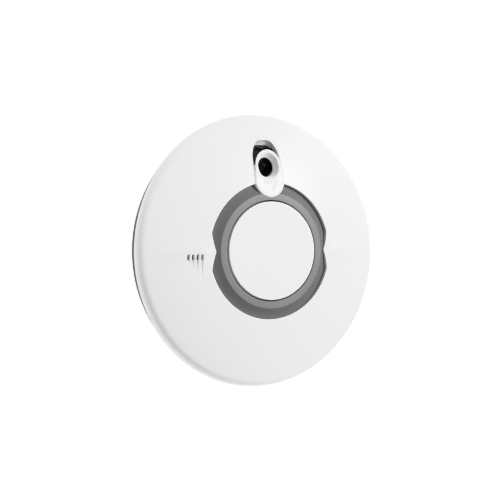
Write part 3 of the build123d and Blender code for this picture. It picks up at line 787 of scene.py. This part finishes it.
def build_cover():
    loops, loose, opening, slots = cover_sheet()

    def keep(x, y):
        cut = in_polygon(opening, x, y)
        for slot in slots:
            cut |= in_polygon(slot, x, y)
        return ~cut & (np.hypot(x, y) < join_radius)

    flat, triangles = sheet(loops, loose, keep)
    used = np.unique(triangles)
    renumber = np.full(len(flat), -1)
    renumber[used] = np.arange(len(used))
    flat, triangles = flat[used], renumber[triangles]
    x, y = flat[:, 0], flat[:, 1]
    tree = nearest(spaced(opening, 0.05) + [p for slot in slots for p in spaced(slot, 0.05)])
    gap = np.array([tree.find((px, py, 0.0))[2] for px, py in flat])
    near_slot = (x < slot_first_x + 2) & (x > slot_x[-1] - 2) & (np.abs(y) < 5)
    corner = np.where(near_slot, slot_rounding, edge_rounding)
    corner = np.where(nose_distance(x, y) < 1.0, seam_rounding, corner)
    inwards = np.clip(corner - gap, 0, None)
    fall = corner - np.sqrt(np.clip(corner**2 - inwards**2, 0, None))
    radius = np.hypot(x, y)
    top = dome_z(radius) + ridge(x, y) - grooves(x, y) - fall
    by_slots = (x < slot_first_x + 3) & (x > slot_x[-1] - 3) & (y < slot_top_y + 2) & (y > slot_low_y - 3)
    bottom = dome_z(radius, cover_wall) + np.where(by_slots, cover_wall - wall_at_slots, 0.0)
    over_ring = np.interp(radius, ring_reach, ring_top) + 0.05
    bottom = np.where(radius < opening_radius, np.maximum(bottom, over_ring), bottom)
    count = len(flat)
    points = np.concatenate([np.column_stack([x, y, top]), np.column_stack([x, y, bottom])])
    faces = [tuple(t) for t in triangles] + [tuple(t[::-1] + count) for t in triangles]
    directed = {(a, b) for t in triangles for a, b in zip(t, np.roll(t, -1))}
    open_edges = [(a, b) for a, b in directed if (b, a) not in directed]
    rim_edges = {}
    for a, b in open_edges:
        if radius[a] > join_radius - 0.01 and radius[b] > join_radius - 0.01:
            rim_edges[a] = b
        else:
            faces.append((b, a, a + count, b + count))
    profile = [(r, z) for r, z in shoulder_profile(cover_radius, 0.0, shoulder, 10)]
    profile += rounded([(cover_radius, skirt_z + 0.6), (cover_radius, skirt_z),
                        (cover_radius - cover_wall, skirt_z), (cover_radius - cover_wall, skirt_z + 0.6)],
                       (0, 0.3, 0.3, 0), 4)
    profile += shoulder_profile(cover_radius - cover_wall, cover_wall, inner_shoulder, 6)[::-1]
    rings_of = []
    order = [next(iter(rim_edges))]
    while rim_edges[order[-1]] != order[0]:
        order.append(rim_edges[order[-1]])
    turns = [math.atan2(flat[k][1], flat[k][0]) for k in order]
    total = len(points)
    extra = []
    for r, z in profile:
        rings_of.append([total + len(extra) + k for k in range(len(order))])
        extra += [(r * math.cos(t), r * math.sin(t), z) for t in turns]
    stack = [order] + rings_of + [[k + count for k in order]]
    for here, there in zip(stack, stack[1:]):
        for a in range(len(order)):
            b = (a + 1) % len(order)
            faces.append((here[b], here[a], there[a], there[b]))
    points = np.concatenate([points, np.array(extra)])
    return as_object("front_cover_shell", points, faces, cover_white, "alarm_head", 34.0)


# %% [markdown]
# The cover stands for the solid of the same name, and its one finish is the white plastic.

# %% Make the cover
cover = build_cover()
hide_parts("front_cover")

# %% [markdown]
# ## Test button
#
# A large round cap with a very slight crown, so that it reads as flat but still catches
# the light unevenly. Its edge has a small rounding, and a skirt hangs down from it so that
# the gap looks dark and deep. A stem in the middle reaches down to the switch.

# %% Test button
crown = 0.35
crown_reach = 23.2
button_rounding = 0.6
button_skirt = 4.2
button_wall = 1.8
stem_radius = 2.6
stem_foot_z = 17.65

face_z = button_top - crown
crown_points = [(r, face_z + crown * (1 - (r / button_radius) ** 2)) for r in np.linspace(0, crown_reach, 14)]
button_edge = (button_radius - button_rounding, face_z - button_rounding + 0.02)
button_profile = (
    crown_points
    + arc(button_edge, button_rounding, 82, 0, 6)
    + [(button_radius, face_z - button_skirt), (button_radius - button_wall, face_z - button_skirt),
       (button_radius - button_wall, face_z - button_wall), (stem_radius, face_z - button_wall),
       (stem_radius, stem_foot_z), (0.0, stem_foot_z)]
)
points, faces = lathe(button_profile, 224)
button = as_object("test_button_cap", points, faces, button_white, "test_button", 50.0)
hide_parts("test_button")

# %% [markdown]
# ## Return spring
#
# The spring stands between the well and the cap. It is a wire swept along a helix of even
# pitch, closed at both ends.

# %% Return spring
spring_radius = 5.0
spring_wire = 0.35
spring_turns = 3.5
wire_sides = 10
steps_per_turn = 40

spring_low, spring_high = corners("button_spring")
foot_z, head_z = spring_low.z + spring_wire, spring_high.z - spring_wire


def coil():
    """Points and faces of a round wire along a helix, closed at both ends."""
    steps = round(spring_turns * steps_per_turn)
    points = []
    for step in range(steps + 1):
        turn = 2 * math.pi * step / steps_per_turn
        outwards = np.array([math.cos(turn), math.sin(turn), 0.0])
        middle = outwards * spring_radius + np.array([0.0, 0.0, foot_z + (head_z - foot_z) * step / steps])
        for side in range(wire_sides):
            angle = 2 * math.pi * side / wire_sides
            around_wire = outwards * math.cos(angle) + np.array([0.0, 0.0, math.sin(angle)])
            points.append(middle + spring_wire * around_wire)
    faces = [tuple(range(wire_sides))[::-1], tuple(range(steps * wire_sides, (steps + 1) * wire_sides))]
    for step in range(steps):
        for side in range(wire_sides):
            here, beside = step * wire_sides + side, step * wire_sides + (side + 1) % wire_sides
            faces.append((here, beside, beside + wire_sides, here + wire_sides))
    return points, faces


points, faces = coil()
spring = as_object("button_spring_coil", points, faces, spring_steel, "alarm_head", 60.0)
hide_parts("button_spring")
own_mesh(spring)

# %% [markdown]
# ## Smooth solids from distances
#
# The sensor nose is the one piece with no simple outline: a tongue that swells into a
# hoop, a funnel through the hoop, and a scoop behind it, all blended into each other.
# Modelling it by hand with loops of edges would take hundreds of points. Instead, each
# form is a formula for the distance to its surface, below zero inside. The larger of two
# distances is what both forms share, the smaller is both together, and a softened maximum
# rounds the edge where they meet.

# %% Distances
def both(first, second, round_by=0.0):
    """What two forms share, with the edge between them rounded."""
    sharp = np.maximum(first, second)
    if round_by == 0.0:
        return sharp
    near = np.clip(round_by - np.abs(first - second), 0.0, None)
    return sharp + near**2 / (4 * round_by)


def joined(first, second, round_by=0.0):
    """Two forms together, with the corner between them filled by a fillet."""
    return -both(-first, -second, round_by)


def without(first, second, round_by=0.0):
    return both(first, -second, round_by)


def capsule(x, y, low, high):
    """Flat outline round two circles of different size; each is (y, radius)."""
    span = high[0] - low[0]
    lean = (low[1] - high[1]) / span
    upright = math.sqrt(1 - lean * lean)
    across, up = np.abs(x), y - low[0]
    along = up * upright - across * lean
    side = across * upright + up * lean - low[1]
    bottom = np.hypot(across, up) - low[1]
    top = np.hypot(across, up - span) - high[1]
    return np.where(along < 0, bottom, np.where(along > upright * span, top, side))


# %% [markdown]
# ## The sensor nose
#
# Heat has to reach the sensor from any side, so the nose is open: air passes through the
# hoop's funnel and under the hoop, out of the scoop. Its top is one plane that falls away
# from the tongue's tip, and everything on the hoop is measured from that plane and from
# the hoop's axis. The scoop is a ramp behind the hoop, with upright walls.

# %% Shape of the nose
nose_tip_z = 27.7
nose_slope = math.radians(10.5)
nose_low_z = 18.2
nose_rounding = 1.1
hoop_rounding = 0.7
nose_lip = 0.9
hoop_y = 41.9
hoop_radius = 7.4
hoop_tall = 1.16
hoop_back_radius = 5.6
hoop_depth = 3.6
funnel_radius = 6.0
throat_radius = 4.05
funnel_depth = 3.5
trough_depth = 1.0
trough_half_width = 3.6
trough_end_y = 28.5
scoop_lip = 0.4
scoop_top_y = 55.4
scoop_steepness = math.radians(42.0)
scoop_floor = 6.5
scoop_back_y = 50.8
scoop_low_z = 13.2
sensor_hole = ((42.9, 6.6), (44.7, 6.61))
seam_edge = 0.2
scoop_corner = 1.6
scoop_edge = 0.35
hole_edge = 0.4
tongue_edge = 0.3
funnel_edge = 0.5
undercut_slope = 1.3
undercut_scale = 1.64
nose_flange_width = 1.6
nose_flange_top = 2.25
nose_flange_low = 3.5


def nose_shape(place):
    """Distance to the nose's surface at many points, in millimetres."""
    x, y, z = place
    to_axis = np.hypot(x, y)
    over_dome = np.sqrt(to_axis**2 + (z - dome_centre) ** 2) - dome_radius
    from_tip_y, from_tip_z = y - (nose_low_y - nose_low_radius), z - nose_tip_z
    over_top = from_tip_y * math.sin(nose_slope) + from_tip_z * math.cos(nose_slope)
    along_top = from_tip_y * math.cos(nose_slope) - from_tip_z * math.sin(nose_slope)
    hoop_at = (hoop_y - nose_low_y + nose_low_radius) / math.cos(nose_slope)
    from_hoop = np.hypot(x, (along_top - hoop_at) / hoop_tall)
    depth = -over_top

    ramp = ((z - float(dome_z(scoop_top_y))) * math.cos(scoop_steepness)
            + (scoop_top_y - y) * math.sin(scoop_steepness))
    scoop = both(nose_distance(x, y) + scoop_lip, -ramp, scoop_corner)
    scoop = both(scoop, -over_dome - scoop_floor, 1.0)
    scoop = both(scoop, hoop_y - 2 - y)

    underside = np.where(y > scoop_back_y, scoop_low_z, nose_low_z)
    body = both(both(over_dome, nose_distance(x, y), seam_edge), underside - z)
    flange = both(over_dome + nose_flange_top, -over_dome - nose_flange_low)
    flange = both(flange, nose_distance(x, y) - nose_flange_width)
    body = without(joined(body, flange), scoop, scoop_edge)
    hole = capsule(x, y, *sensor_hole)
    body = without(body, hole, hole_edge)

    fade = smooth((y - trough_end_y) / (hoop_y - 6 - trough_end_y))
    trough = trough_depth * fade * np.exp(-((x / (trough_half_width * (0.4 + 0.6 * fade))) ** 6))
    outline = capsule(x, y, (nose_low_y, nose_low_radius), (hoop_y, hoop_radius))
    tongue = both(outline, over_top + trough, nose_rounding)
    tongue = both(tongue, depth - hoop_depth - 0.2)
    tongue = both(tongue, y - hoop_y - 0.5)
    undercut = (depth - nose_lip + undercut_slope * outline) / undercut_scale
    tongue = both(tongue, np.where(to_axis < opening_radius - 0.5, undercut, -9.0), seam_edge)
    tongue = without(tongue, both(hole, hoop_depth * 0.8 - depth), tongue_edge)
    taper = (hoop_radius - hoop_back_radius) / hoop_depth
    lean = math.cos(math.atan(taper))
    hoop = both((from_hoop - hoop_radius + taper * depth) * lean, over_top, hoop_rounding)
    hoop = both(hoop, depth - hoop_depth, 0.5)
    nose = joined(joined(body, tongue, tongue_edge), hoop, tongue_edge)

    narrowing = (funnel_radius - throat_radius) / funnel_depth
    funnel = (from_hoop - np.maximum(funnel_radius - narrowing * depth, throat_radius))
    nose = without(nose, both(funnel, depth - 12), funnel_edge)

    under_ring = np.interp(to_axis, ring_reach, ring_top) + 0.04 - z
    on_ring = np.where(to_axis < opening_radius + 0.2, under_ring, -9.0)
    nose = both(nose, on_ring)
    flange_room = both(to_axis - opening_radius - nose_flange_width - 0.2, z - ring_flange_z - 0.1)
    return without(nose, flange_room)


# %% [markdown]
# ## From a formula to a mesh
#
# Space is divided into small cells. Each cell that the surface passes through gets one
# point, and each edge of the grid that it crosses gets one face between four cells. Every
# point then slides along the slope of the distance until it lies on the surface itself, so
# the steps of the grid don't show.

# %% Cells to faces
def skin_of(shape, low, high, cell):
    """Points and faces of the surface where a distance formula is zero."""
    axes = [np.arange(a, b + cell, cell) for a, b in zip(low, high)]
    grid = np.stack(np.meshgrid(*axes, indexing="ij"))
    inside = shape(grid) < 0
    corners_at = [inside[i:inside.shape[0] - 1 + i, j:inside.shape[1] - 1 + j, k:inside.shape[2] - 1 + k]
                  for i in (0, 1) for j in (0, 1) for k in (0, 1)]
    held = sum(corner.astype(int) for corner in corners_at)
    crossed = (held > 0) & (held < 8)
    number_of = np.full(crossed.shape, -1)
    number_of[crossed] = np.arange(crossed.sum())
    points = np.argwhere(crossed).T * cell + np.array(low)[:, None] + cell / 2
    for _ in range(6):
        value = shape(points)
        step = cell * 0.05
        slope = np.stack([shape(points + step * np.eye(3)[a][:, None]) - value for a in range(3)]) / step
        move = value * slope / np.maximum((slope**2).sum(axis=0), 0.2)
        points = points - np.clip(move, -cell / 2, cell / 2)
    faces = []
    for axis in range(3):
        second, third = (axis + 1) % 3, (axis + 2) % 3
        here = np.take(inside, range(0, inside.shape[axis] - 1), axis)
        there = np.take(inside, range(1, inside.shape[axis]), axis)
        for place in np.argwhere(here != there):
            if min(place[second], place[third]) == 0:
                continue
            around_edge = []
            for back_second, back_third in ((1, 1), (0, 1), (0, 0), (1, 0)):
                cell_at = place.copy()
                cell_at[second] -= back_second
                cell_at[third] -= back_third
                around_edge.append(int(number_of[tuple(cell_at)]))
            faces.append(around_edge if here[tuple(place)] else around_edge[::-1])
    return points.T, faces


# %% [markdown]
# A cell of a quarter of a millimetre is small enough for the nose's thin edges. The space
# that is searched is the nose's own, with a little room round it.

# %% Make the nose
nose_space = (-10.4, 25.6, 12.4), (10.4, 59.4, 28.2)
nose_cell = 0.24

points, faces = skin_of(nose_shape, *nose_space, nose_cell)
nose = as_object("nose_cowl_moulding", points, faces, cover_white, "alarm_head", 55.0)
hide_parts("nose_cowl")

# %% [markdown]
# ## The floor
#
# The alarm lies face up on a plain white floor, as in a catalogue. The floor glows and
# reflects very little, so that it stays evenly white and takes no shadow.

# %% Floor
def pale_floor():
    made, wires = new_material("pale_floor")
    place = wires.node("TexCoord", out=3)
    mottle = wires.node("TexNoise", (), {"Vector": place, "Scale": 40.0, "Detail": 2.0})
    tint = mottle.between((0.045, 0.045, 0.045, 1.0), (0.055, 0.055, 0.055, 1.0))
    shader = wires.node("BsdfPrincipled", (), {
        "Base Color": tint, "Roughness": 0.9,
        "Emission Color": (1.0, 1.0, 1.0, 1.0), "Emission Strength": 1.3,
    })
    finish_material(wires, shader)
    return made


floor_half = 3.0
floor_mesh = bpy.data.meshes.new("floor")
floor_corners = [(-floor_half, -floor_half, 0), (floor_half, -floor_half, 0),
                 (floor_half, floor_half, 0), (-floor_half, floor_half, 0)]
floor_mesh.from_pydata(floor_corners, [], [(0, 1, 2, 3)])
floor_mesh.materials.append(pale_floor())
floor = bpy.data.objects.new("floor", floor_mesh)
floor.location.z = cad_box[0][2] - 0.2 * MM
bpy.context.scene.collection.objects.link(floor)


# %% [markdown]
# ## The light
#
# One broad light comes from the upper right, and the surroundings fill the rest. A soft
# light shows a smooth dome by slow gradients, and edges by thin ones. What slopes away from
# it is darker: the recess of the nose, and the left and lower sides of the ring's cove.

# %% Lights
def soft_light(name, place, size, power):
    """A square area light that faces the alarm."""
    lamp = bpy.data.lights.new(name, "AREA")
    lamp.shape, lamp.size, lamp.energy = "SQUARE", size, power
    light = bpy.data.objects.new(name, lamp)
    light.location = place
    light.rotation_euler = (-Vector(place)).to_track_quat("-Z", "Y").to_euler()
    bpy.context.scene.collection.objects.link(light)
    return light


soft_light("key_from_upper_right", (0.82, 0.55, 1.25), 0.6, 24.5)

surroundings = bpy.data.worlds.new("surroundings")
surroundings.use_nodes = True
background = surroundings.node_tree.nodes["Background"]
background.inputs["Color"].default_value = (1.0, 1.0, 1.0, 1.0)
background.inputs["Strength"].default_value = 0.4
bpy.context.scene.world = surroundings

# %% [markdown]
# ## The tone curve
#
# A white object in even light has very little contrast of its own. A camera's curve keeps
# the dark and middle tones as they are and bends the brightest ones, so that a bright side
# and a shaded side of the cover stay apart without any of it turning into pure white. Only
# the floor goes all the way up.

# %% Tone curve
tone_points = ((0.0, 0.0), (0.48, 0.49), (0.65, 0.72), (0.8, 0.81), (0.98, 0.85), (1.15, 0.89), (1.3, 1.0))
tones = bpy.context.scene.view_settings
tones.view_transform = "Standard"
tones.use_curve_mapping = True
tones.curve_mapping.clip_max_x = 2.0
tones.curve_mapping.clip_max_y = 2.0
combined = tones.curve_mapping.curves[3]
combined.points[-1].location = tone_points[-1]
for place in tone_points[1:-1]:
    combined.points.new(*place)
tones.curve_mapping.update()
print("tone curve through", [tuple(round(v, 2) for v in point.location) for point in combined.points])
